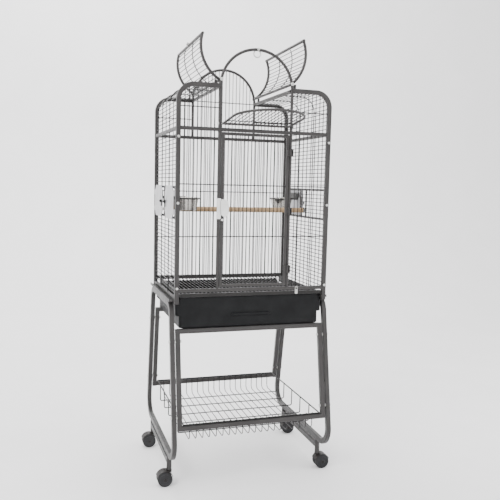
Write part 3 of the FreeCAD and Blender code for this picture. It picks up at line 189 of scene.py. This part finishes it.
EVERY_WAY, UPRIGHT, LONG_UPRIGHT, LEVEL_RINGS = (1, 1, 1), (1, 1, 0.3), (1, 1, 0.08), (0.05, 0.05, 1)
FINISHES["fixings"] = drawn_metal("Zinc plate on fixings",
                                  (0.50, 0.50, 0.49), (0.74, 0.74, 0.73), 0.32, EVERY_WAY)
FINISHES["latch_steel"] = drawn_metal("Polished latch steel",
                                      (0.90, 0.90, 0.89), (0.98, 0.98, 0.97), 0.34, LONG_UPRIGHT)
FINISHES["zinc_plate"] = drawn_metal("Zinc coat on cover plates",
                                     (0.46, 0.46, 0.475), (0.58, 0.58, 0.595), 0.40, UPRIGHT, 120.0)
FINISHES["cup_steel"] = drawn_metal("Spun stainless cups",
                                    (0.40, 0.385, 0.36), (0.56, 0.54, 0.51), 0.20, LEVEL_RINGS, 500.0, 0.00001)
print("finishes", sorted(FINISHES))

# %% [markdown]
# The perch is a turned hardwood dowel, sold unvarnished. Its grain runs along its length in long fibres,
# with a few darker pores, and its surface is slightly furred by the lathe.


# %% Wood
def dowel_wood(name):
    """Long fibres: noise squeezed across the length, tinted by slow bands, with darker pores."""
    material, tree, shader, place = new_finish(name)
    fibre = noise(tree, stretched(tree, place, (0.03, 1, 1)), 420.0, 5.0, 0.7)
    bands = noise(tree, stretched(tree, place, (0.08, 1, 1)), 45.0, 2.0)
    pale, mid, brown = (0.40, 0.275, 0.155), (0.31, 0.200, 0.105), (0.18, 0.108, 0.052)
    tint = ramp(tree, bands, [(0.35, pale), (0.65, mid)])
    grain = ramp(tree, fibre, [(0.30, brown), (0.46, mid), (0.60, pale)])
    mix = tree.nodes.new("ShaderNodeMixRGB")
    mix.inputs["Fac"].default_value = 0.5
    tree.links.new(tint, mix.inputs["Color1"])
    tree.links.new(grain, mix.inputs["Color2"])
    tree.links.new(mix.outputs["Color"], shader.inputs["Base Color"])
    tree.links.new(spread(tree, fibre, 0.50, 0.68), shader.inputs["Roughness"])
    relief(tree, shader, fibre, 0.0005, 0.35)
    return material


FINISHES["perch_wood"] = dowel_wood("Turned hardwood dowel")

# %% [markdown]
# The tray, the casters and the thumb turns are black moulded plastic. Mould steel leaves a fine stipple, so
# the surface breaks up highlights, and handling polishes it unevenly.


# %% Plastics
def moulded(name, tone, rough, grain=900.0, depth=0.00025):
    """Near-black tone with slow scuffing and a fine stippled relief."""
    material, tree, shader, place = new_finish(name)
    scuff = noise(tree, place, 14.0, 5.0, 0.65)
    lighter = tuple(channel * 1.6 + 0.002 for channel in tone)
    tree.links.new(ramp(tree, scuff, [(0.38, tone), (0.72, lighter)]), shader.inputs["Base Color"])
    tree.links.new(spread(tree, scuff, rough - 0.05, rough + 0.12), shader.inputs["Roughness"])
    relief(tree, shader, noise(tree, place, grain, 2.0), depth, 0.3)
    shader.inputs["Specular IOR Level"].default_value = 0.12
    return material


FINISHES["tray_plastic"] = moulded("Grained tray plastic", (0.006, 0.0063, 0.0068), 0.46)
FINISHES["dark_knob"] = moulded("Moulded thumb turns", (0.020, 0.020, 0.020), 0.40)
FINISHES["caster_plastic"] = moulded("Moulded caster body", (0.018, 0.0165, 0.016), 0.34)
FINISHES["caster_wheel"] = moulded("Caster tread", (0.022, 0.022, 0.023), 0.50, 500.0)

# %% Dress the measured pieces
# Painted shade: the grate lies low in the tray, where shade falls, so it wears the darker wire coat instead of
# its own slot's.
PAINTED_SHADE_SLOTS = {"grate": "cage_wire"}
for entry in frame["record"]["subparts"]:
    mesh = NODES[entry["node"]].data
    mesh.materials.clear()
    mesh.materials.append(FINISHES[PAINTED_SHADE_SLOTS.get(entry["node"], entry["material_slot"])])
print("dressed", len(NODES), "pieces")

# %% [markdown]
# ## Pieces made of worked-out surfaces
# Moulded, spun and turned pieces have soft edges that a measured block lacks. Each one below is a grid of
# points computed in one go: either a profile taken round an axis, or rings of rounded rectangles stacked
# into a tub.


# %% From a grid of points to a piece
def skin(name, grid, slot_name, body, node, crease=38.0):
    """Closed surface over grid[row, column]: columns wrap round, rows run from one pole to the other."""
    rows, columns = grid.shape[:2]
    index = np.arange(rows * columns).reshape(rows, columns)
    index = np.hstack([index, index[:, :1]])
    corners = [index[:-1, :-1], index[:-1, 1:], index[1:, 1:], index[1:, :-1]]
    faces = np.stack(corners, axis=-1).reshape(-1, 4)
    mesh = bpy.data.meshes.new(name)
    mesh.from_pydata(grid.reshape(-1, 3).tolist(), [], faces.tolist())
    work = bmesh.new()
    work.from_mesh(mesh)
    bmesh.ops.remove_doubles(work, verts=work.verts, dist=2e-6)
    bmesh.ops.recalc_face_normals(work, faces=work.faces)
    work.to_mesh(mesh)
    work.free()
    mesh.polygons.foreach_set("use_smooth", np.ones(len(mesh.polygons), dtype=bool))
    mesh.set_sharp_from_angle(angle=math.radians(crease))
    mesh.materials.append(FINISHES[slot_name])
    piece = bpy.data.objects.new(name, mesh)
    bpy.context.scene.collection.objects.link(piece)
    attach(piece, body)
    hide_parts(node)
    print(name, len(mesh.polygons), "faces")


def revolved(profile, centre, axis, steps=64):
    """Point (r, h) of the profile goes to centre + h * axis + r * (cos a * side + sin a * other side)."""
    radius, height = np.array(profile, dtype=float).T
    angle = np.arange(steps) * 2 * math.pi / steps
    side = {"X": (0, 1, 0), "Y": (0, 0, 1), "Z": (1, 0, 0)}[axis]
    along = {"X": (1, 0, 0), "Y": (0, 1, 0), "Z": (0, 0, 1)}[axis]
    other = np.cross(along, side)
    ring = np.cos(angle)[:, None] * np.array(side) + np.sin(angle)[:, None] * other
    return np.array(centre) + height[:, None, None] * np.array(along) + radius[:, None, None] * ring[None]


def arc_points(centre, radius, start, end, count=7):
    """Points of a circular arc, from start to end in degrees, about centre (r, h)."""
    angle = np.radians(np.linspace(start, end, count))
    return [(centre[0] + radius * math.cos(a), centre[1] + radius * math.sin(a)) for a in angle]


def body_with(node):
    """The body that a node belongs to, read from the record."""
    return next(name for name, nodes in frame["record"]["behaviour"]["bodies"].items() if node in nodes)


# %% [markdown]
# Each feeder cup is spun from a stainless disc: a soft bottom corner, straight tapering sides, and a lip
# that is rolled outwards so that the cup hangs in its ring. A profile of the wall, taken once round the
# axis, gives all that.

# %% Feeder cups
CUP_WALL, LIP_ROLL, CUP_CORNER = 0.0012, 0.0016, 0.006
CUP_FOOT = 0.036
CUP_MOUTH = 0.0438


def cup_profile(height, lip_radius):
    """Outside from the middle of the foot up to the rolled lip, then down the inside, a wall further in."""
    lean = math.degrees(math.atan2(height, CUP_MOUTH - CUP_FOOT))
    foot = arc_points((CUP_FOOT - CUP_CORNER, CUP_CORNER), CUP_CORNER, -90, 90 - lean)
    roll = arc_points((lip_radius - LIP_ROLL, height - LIP_ROLL), LIP_ROLL, -120, 90, 9)
    inner = arc_points((CUP_FOOT - CUP_CORNER, CUP_CORNER), CUP_CORNER - CUP_WALL, 90 - lean, -90)
    neck = (CUP_MOUTH, height - 2.4 * LIP_ROLL)
    mouth = (CUP_MOUTH - CUP_WALL, height - LIP_ROLL)
    return [(0, 0)] + foot + [neck] + roll + [mouth] + inner + [(0, CUP_WALL)]


for node in sorted(name for name in NODES if name.startswith("cup_") and "holder" not in name):
    low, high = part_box(node)
    centre = ((low[0] + high[0]) / 2, (low[1] + high[1]) / 2, low[2])
    cup = revolved(cup_profile(high[2] - low[2], (high[0] - low[0]) / 2), centre, "Z", 72)
    skin("spun_" + node, cup, "cup_steel", body_with(node), node)

# %% [markdown]
# A caster runs on two moulded wheels. Their treads are rounded at the shoulders with a shallow groove round
# the middle, and their faces are dished between hub and rim.

# %% Caster wheels
AXLE_BORE, HUB_R, DISH_R, DISH_DEEP, SHOULDER, GROOVE = 0.00305, 0.0090, 0.0198, 0.0014, 0.0026, 0.0009


def wheel_profile(radius, width):
    """Hub face, dish, rim, rounded shoulder and grooved tread, mirrored about the middle of the width."""
    half = [(AXLE_BORE, 0.0), (HUB_R, 0.0), (HUB_R + 0.0010, DISH_DEEP), (DISH_R - 0.0008, DISH_DEEP),
            (DISH_R, 0.0)]
    half += arc_points((radius - SHOULDER, SHOULDER), SHOULDER, -90, 0, 6)
    half += [(radius, width / 2 - 0.0016), (radius - GROOVE, width / 2 - 0.0009)]
    mirrored = [(r, width - h) for r, h in reversed(half)]
    return half + mirrored + half[:1]


WHEEL_WIDTH = 0.016
for node in sorted(name for name in NODES if name.startswith("caster_wheels_")):
    low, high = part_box(node)
    radius = (high[2] - low[2]) / 2
    middle_x = (low[0] + high[0]) / 2
    for side, start in (("a", low[1]), ("b", high[1] - WHEEL_WIDTH)):
        wheel = revolved(wheel_profile(radius, WHEEL_WIDTH), (middle_x, start, low[2] + radius), "Y", 56)
        skin("wheel_" + side + node[len("caster_wheels"):], wheel, "caster_wheel", body_with(node), node)

# %% [markdown]
# The perch is turned between centres, so its ends are chamfered and its radius wanders a little along its
# length.

# %% Perch
low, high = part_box("perch")
perch_radius, perch_length = (high[2] - low[2]) / 2, high[0] - low[0]
CHAMFER = 0.0012
run = np.linspace(CHAMFER, perch_length - CHAMFER, 60)
wander = perch_radius * (0.985 + 0.010 * np.sin(run * 31.0) * np.sin(run * 83.0 + 1.0))
dowel_profile = ([(0.0, 0.0), (perch_radius - 1.4 * CHAMFER, 0.0)] + list(zip(wander, run))
                 + [(perch_radius - 1.4 * CHAMFER, perch_length), (0.0, perch_length)])
perch_centre = (low[0], (low[1] + high[1]) / 2, (low[2] + high[2]) / 2)
skin("turned_perch", revolved(dowel_profile, perch_centre, "X", 40), "perch_wood", "cage", "perch", 30.0)

# %% [markdown]
# The tray is one deep moulding. Below it is narrow enough to pass between the stand's posts, then it steps
# out, and its front and back rise to hide the grate. Rings of rounded rectangles, stacked from the foot up
# the outside and down the inside, make the whole skin. A thickened rim stiffens the edge.

# %% Slide-out tray
TRAY_WALL, TRAY_STEP, TRAY_CORNER = 0.003, 0.0437, 0.014
low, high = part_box("tray")
TRAY_BACK = high[1]
TRAY_FOOT_HALF, TRAY_TOP_HALF = 0.257, (high[0] - low[0]) / 2
SIDE_TOP = 0.647
FRONT_HALF, BACK_HALF, BACK_SLOPE = 0.2577, 0.2475, 0.0075


def rounded_ring(half_x, half_y, corner, steps=12):
    """Points round a rectangle with quarter-circle corners, and extra points where the back rises."""
    ring = []
    for quarter in range(4):
        angle = np.radians(np.linspace(90 * quarter, 90 * quarter + 90, steps))
        sign_x, sign_y = ((1, 1), (-1, 1), (-1, -1), (1, -1))[quarter]
        corner_x = sign_x * (half_x - corner) + corner * np.cos(angle)
        corner_y = sign_y * (half_y - corner) + corner * np.sin(angle)
        ring.append(np.stack([corner_x, corner_y], axis=1))
        if quarter % 2 == 0:
            run = np.array([BACK_HALF + 0.0005, BACK_HALF - BACK_SLOPE, 0.12, 0.0,
                            -0.12, BACK_SLOPE - BACK_HALF, -BACK_HALF - 0.0005])
            run = sign_y * np.clip(run, corner - half_x, half_x - corner)
            ring.append(np.stack([run, np.full(len(run), sign_y * half_y)], axis=1))
    return np.concatenate(ring)


def tub_ring(half_x, half_y, corner, level, rise=0.0):
    """One ring at a level; where |x| is inside the raised front or back it lies higher by rise."""
    ring = rounded_ring(half_x, half_y, corner)
    raised = np.abs(ring[:, 0]) < np.where(ring[:, 1] < 0, FRONT_HALF, BACK_HALF)
    return np.column_stack([ring, level + rise * raised])


FOOT_ROUND = ((0.004, 0.0), (0.0015, 0.0010), (0.0, 0.0035))
RIM_STEPS = ((0.0008, -0.0055), (0.0008, -0.0012), (0.0, 0.0))
STEP_ROUND, DRAFT, FLOOR_ROUND, RIM_TALL = 0.0015, 0.0008, 0.003, 0.007
foot_z, step_z, rise = low[2], low[2] + TRAY_STEP, high[2] - SIDE_TOP - 0.001
outer_x, outer_y = TRAY_TOP_HALF - DRAFT, TRAY_BACK - DRAFT
inner_x, inner_y, inner_corner = TRAY_TOP_HALF - TRAY_WALL, TRAY_BACK - TRAY_WALL, TRAY_CORNER - TRAY_WALL
floor_x, floor_z, shelf_z = TRAY_FOOT_HALF - TRAY_WALL, foot_z + TRAY_WALL, step_z + TRAY_WALL
POLE = (0.02, 0.02, 0.01)

rings = [tub_ring(*POLE, foot_z)]
for inset, lift in FOOT_ROUND:
    rings.append(tub_ring(TRAY_FOOT_HALF - inset, TRAY_BACK - inset, TRAY_CORNER, foot_z + lift))
for half_x, level in ((TRAY_FOOT_HALF, step_z - STEP_ROUND), (TRAY_FOOT_HALF + STEP_ROUND, step_z),
                      (TRAY_TOP_HALF - 0.0025, step_z), (outer_x, step_z + STEP_ROUND)):
    rings.append(tub_ring(half_x, outer_y, TRAY_CORNER, level))
rings.append(tub_ring(outer_x, outer_y, TRAY_CORNER, SIDE_TOP - RIM_TALL, rise))
for flare, level in RIM_STEPS:
    rings.append(tub_ring(outer_x + flare, outer_y + flare, TRAY_CORNER, SIDE_TOP + level, rise))
rings.append(tub_ring(inner_x, inner_y, inner_corner, SIDE_TOP, rise))
rings.append(tub_ring(inner_x, inner_y, inner_corner, shelf_z))
rings.append(tub_ring(floor_x, inner_y, inner_corner, shelf_z))
rings.append(tub_ring(floor_x, inner_y, inner_corner, floor_z + 0.002))
rings.append(tub_ring(floor_x - FLOOR_ROUND, inner_y - FLOOR_ROUND, inner_corner, floor_z))
rings.append(tub_ring(*POLE, floor_z))
tub = np.stack(rings)
below = np.broadcast_to(np.array([0.0, 0.0, foot_z]), tub[:1].shape)
above = np.broadcast_to(np.array([0.0, 0.0, floor_z]), tub[:1].shape)
tub = np.concatenate([below, tub, above])
skin("moulded_tray", tub, "tray_plastic", "tray", "tray", 32.0)

# The pull is a shallow bar moulded on the front, a half-round ridge with domed ends.
GRIP_HALF, GRIP_Z, GRIP_DEEP, GRIP_TALL, GRIP_DOME = 0.0725, 0.606, 0.0042, 0.0052, 0.006
GRIP_STANDS_OUT, GRIP_SUNK = 0.0045, 0.0002
run = np.linspace(-GRIP_HALF, GRIP_HALF, 61)
into_dome = np.clip(np.abs(run) - GRIP_HALF + GRIP_DOME, 0, None) / GRIP_DOME
fullness = np.sqrt(np.clip(1 - into_dome ** 2, 0, 1))
around = np.arange(24) * 2 * math.pi / 24
grip = np.stack([np.broadcast_to(run[:, None], (len(run), len(around))),
                 low[1] + GRIP_STANDS_OUT - GRIP_SUNK + GRIP_DEEP * fullness[:, None] * np.cos(around)[None],
                 GRIP_Z + GRIP_TALL * fullness[:, None] * np.sin(around)[None]], axis=-1)
skin("tray_pull", grip, "tray_plastic", "tray", "tray")

# %% [markdown]
# ## Room, light and view
# A pale sweep of paper curves up behind the cage, so that no corner shows. Three broad soft lights and a
# bright sky give the dark tubes a pale edge on both sides.


# %% Paper sweep
def sweep_sheet(name, half_width, front, back, bend, top):
    """Floor line, quarter circle and wall line in the YZ plane, carried along X."""
    turn = np.linspace(0.0, math.pi / 2, 17)
    arc_y, arc_z = back - bend + bend * np.sin(turn), bend - bend * np.cos(turn)
    y = np.concatenate([[front], arc_y, [back]])
    z = np.concatenate([[0.0], arc_z, [top]])
    x = np.array([-half_width, half_width])
    points = np.stack([np.broadcast_to(x, (len(y), 2)), np.broadcast_to(y[:, None], (len(y), 2)),
                       np.broadcast_to(z[:, None], (len(y), 2))], axis=-1).reshape(-1, 3)
    row = np.arange(len(y) - 1)[:, None] * 2
    faces = row + np.array([[0, 1, 3, 2]])
    mesh = bpy.data.meshes.new(name)
    mesh.from_pydata(points.tolist(), [], faces.tolist())
    mesh.polygons.foreach_set("use_smooth", np.ones(len(faces), dtype=bool))
    mesh.update()
    sheet = bpy.data.objects.new(name, mesh)
    bpy.context.scene.collection.objects.link(sheet)
    return sheet


paper, tree, shader, place = new_finish("Backdrop paper")
PAPER_SHADE, PAPER_WHITE = (0.88, 0.875, 0.88), (0.91, 0.905, 0.91)
tree.links.new(ramp(tree, noise(tree, place, 3.0), [(0.3, PAPER_SHADE), (0.7, PAPER_WHITE)]),
               shader.inputs["Base Color"])
shader.inputs["Roughness"].default_value = 0.9
sweep = sweep_sheet("backdrop", 6.0, -6.0, 3.2, 1.6, 5.0)
sweep.data.materials.append(paper)


# %% Lights
def soft_light(name, spot, aim, size, power):
    """Square area light at spot, turned to face aim."""
    light = bpy.data.lights.new(name, "AREA")
    light.size, light.energy = size, power
    lamp = bpy.data.objects.new(name, light)
    bpy.context.scene.collection.objects.link(lamp)
    lamp.location = spot
    lamp.rotation_euler = (Vector(aim) - Vector(spot)).to_track_quat("-Z", "Y").to_euler()


MIDDLE = (0.0, 0.0, 0.85)
soft_light("key light", (-2.6, -2.0, 2.9), MIDDLE, 1.6, 110.0)
soft_light("fill light", (2.8, -1.0, 1.9), MIDDLE, 1.8, 40.0)
soft_light("back light", (-0.4, 1.4, 3.9), (0.2, 3.2, 1.0), 2.6, 130.0)
world = bpy.data.worlds.new("pale room")
bpy.context.scene.world = world
world.use_nodes = True
world.node_tree.nodes["Background"].inputs["Color"].default_value = (1.0, 1.0, 1.0, 1.0)
world.node_tree.nodes["Background"].inputs["Strength"].default_value = 1.75

# %% Camera
EYE = Vector((-0.6954, -2.3370, 1.0532))
YAW, PITCH, ROLL = 0.311, -0.0985, 0.0228
SENSOR, LENS = 36.0, 46.42
forward = Vector((math.sin(YAW) * math.cos(PITCH), math.cos(YAW) * math.cos(PITCH), math.sin(PITCH)))
level = Vector((math.cos(YAW), -math.sin(YAW), 0.0))
right = Matrix.Rotation(-ROLL, 3, forward) @ level
upward = right.cross(forward)
camera_data = bpy.data.cameras.new("camera")
camera_data.sensor_width, camera_data.lens = SENSOR, LENS
camera = bpy.data.objects.new("camera", camera_data)
bpy.context.scene.collection.objects.link(camera)
turn = Matrix((right, upward, -forward)).transposed()
camera.matrix_world = Matrix.Translation(EYE) @ turn.to_4x4()
bpy.context.scene.camera = camera
